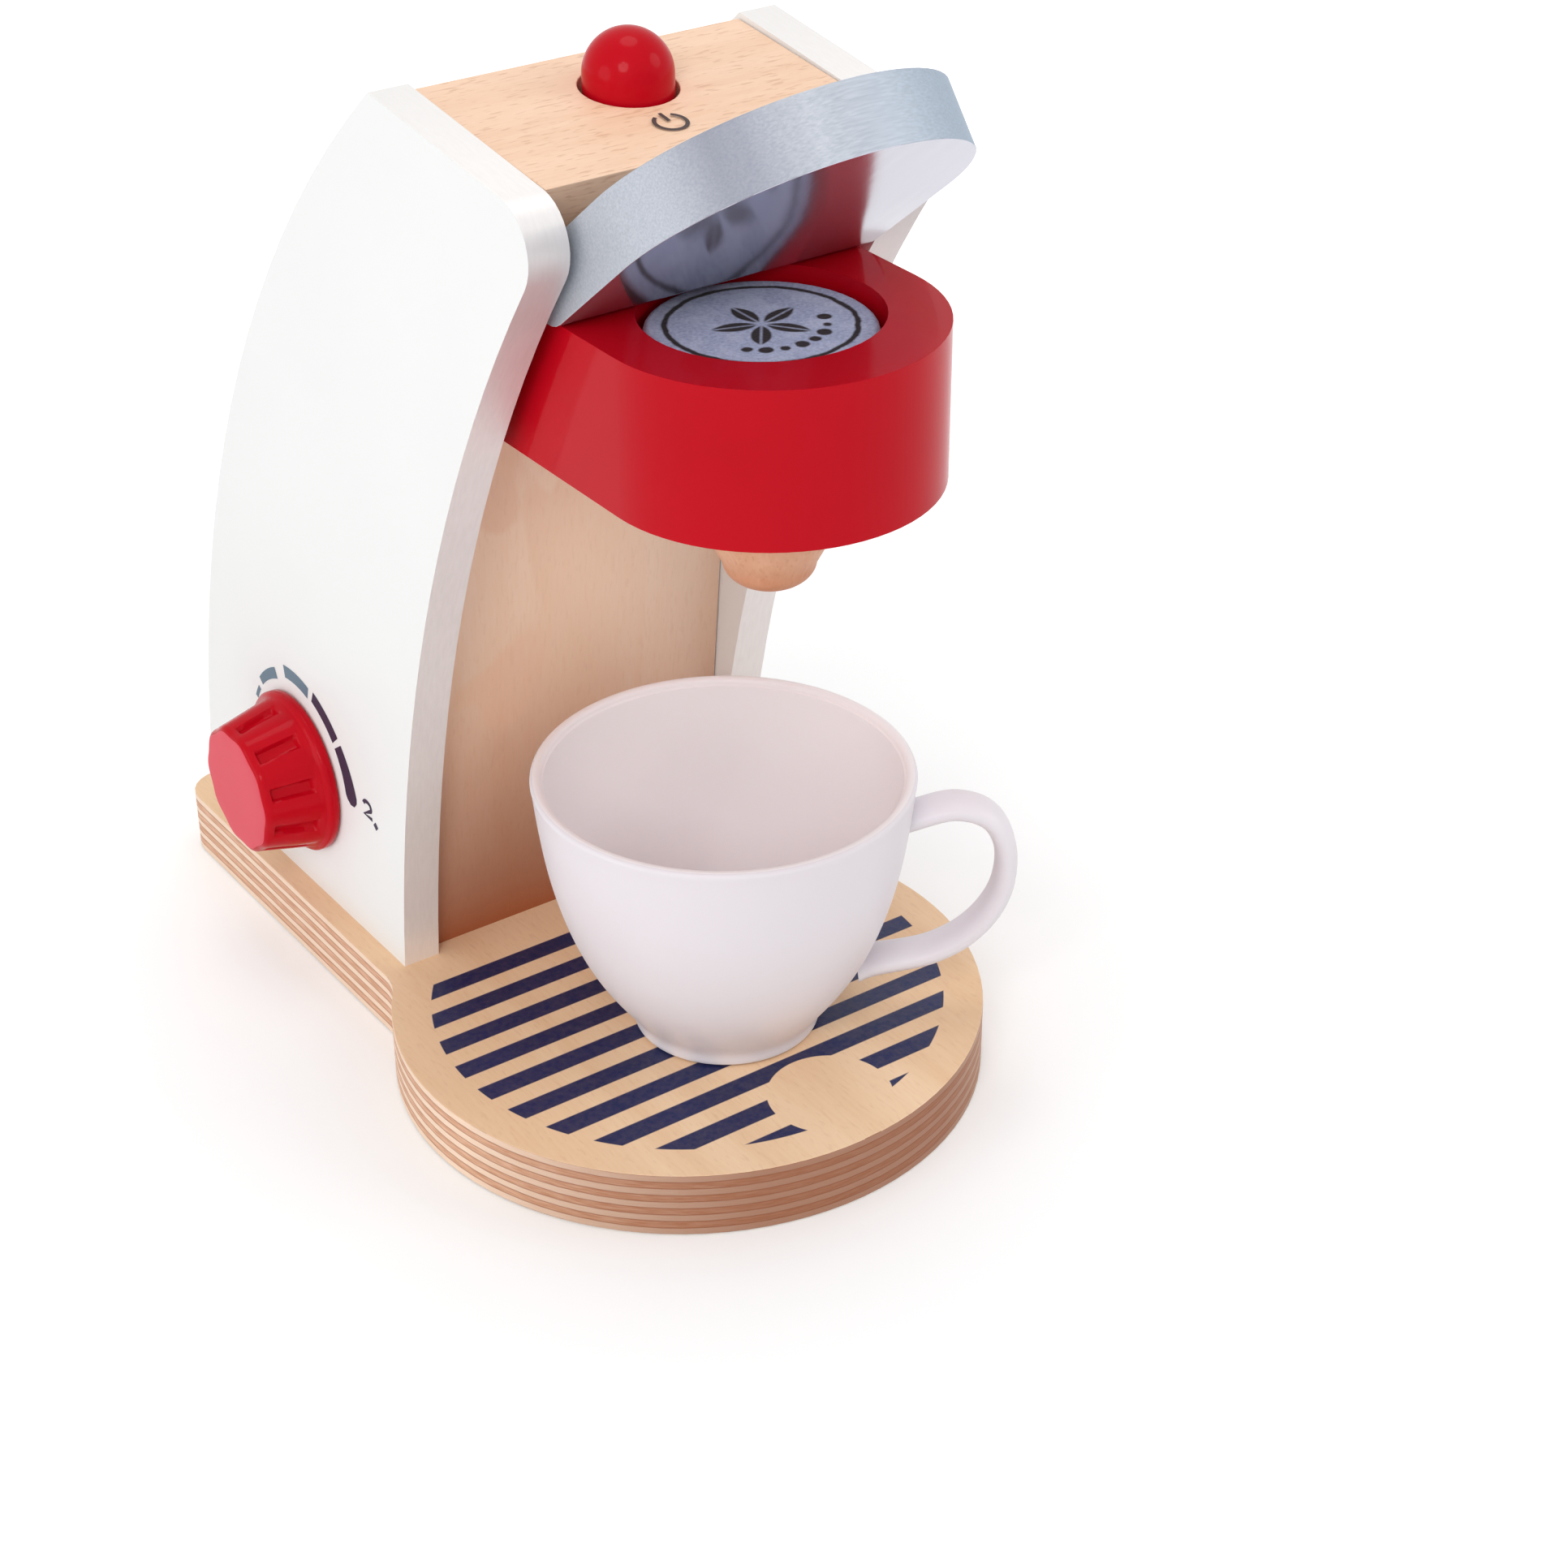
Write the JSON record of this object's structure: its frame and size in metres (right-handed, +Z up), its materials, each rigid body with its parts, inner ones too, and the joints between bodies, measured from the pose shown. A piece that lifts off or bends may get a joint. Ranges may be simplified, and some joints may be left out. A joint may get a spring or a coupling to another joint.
{
  "type": "toy coffee maker",
  "caption": "Wooden toy coffee maker with crescent side panels, hinged lid over a capsule recess, push button, dial, capsule and a cup under the spout.",
  "frame": {"origin": "centre of the round front end of the base, on the underside", "axes": "+Z up, the front with the cup faces -Y, +X to the right seen from the front"},
  "size_m": [0.12, 0.1951, 0.2191],
  "materials": {
    "plywood": "clear satin lacquer, plies show on the edge",
    "beech": "clear satin lacquer",
    "white_paint": "satin white paint on plywood, silver on the front edges",
    "red_paint": "gloss red paint on wood",
    "silver": "brushed silver foil on wood",
    "steel": "plain zinc-plated steel",
    "felt": "printed felt face",
    "cup_plastic": "matte moulded plastic"
  },
  "bodies": {
    "machine": {"base_board": "plywood", "left_side_panel": "white_paint", "right_side_panel": "white_paint", "front_board": "beech", "rear_cover": "beech", "top_block": "beech", "brew_head": "red_paint", "spout": "beech", "button_spring": "steel", "hinge_pin_left": "steel", "hinge_pin_right": "steel", "top_dowel_left": "beech", "top_dowel_right": "beech", "head_screw_left": "steel", "head_screw_right": "steel", "base_screw_left_front": "steel", "base_screw_left_rear": "steel", "base_screw_right_front": "steel", "base_screw_right_rear": "steel"},
    "lid_body": {"lid": "silver"},
    "button_body": {"power_button": "red_paint", "button_retainer": "steel"},
    "dial_body": {"dial_knob": "red_paint", "dial_axle": "beech", "dial_washer": "steel"},
    "capsule_body": {"capsule": "felt"},
    "cup_body": {"cup": "cup_plastic"}
  },
  "joints": [
    {"name": "lid_hinge", "type": "hinge", "parent": "machine", "child": "lid_body", "pos_m": [0, -0.0115, 0.1773], "axis": [-1, 0, 0], "range_deg": [-39, 21]},
    {"name": "button_press", "type": "slide", "parent": "machine", "child": "button_body", "axis": [0, 0, -1], "range_m": [0, 0.004], "stiffness_N_per_m": 150, "springref_m": -0.003, "deforming": ["button_spring"]},
    {"name": "dial_turn", "type": "hinge", "parent": "machine", "child": "dial_body", "pos_m": [-0.05, 0.081, 0.042], "axis": [-1, 0, 0], "continuous": true},
    {"name": "capsule_tip", "type": "hinge", "parent": "machine", "child": "capsule_body", "pos_m": [0, -0.0066, 0.16585], "axis": [-1, 0, 0], "range_deg": [0, 20]},
    {"name": "cup_slide", "type": "slide", "parent": "machine", "child": "cup_body", "axis": [0, -1, 0], "range_m": [0, 0.1]}
  ]
}
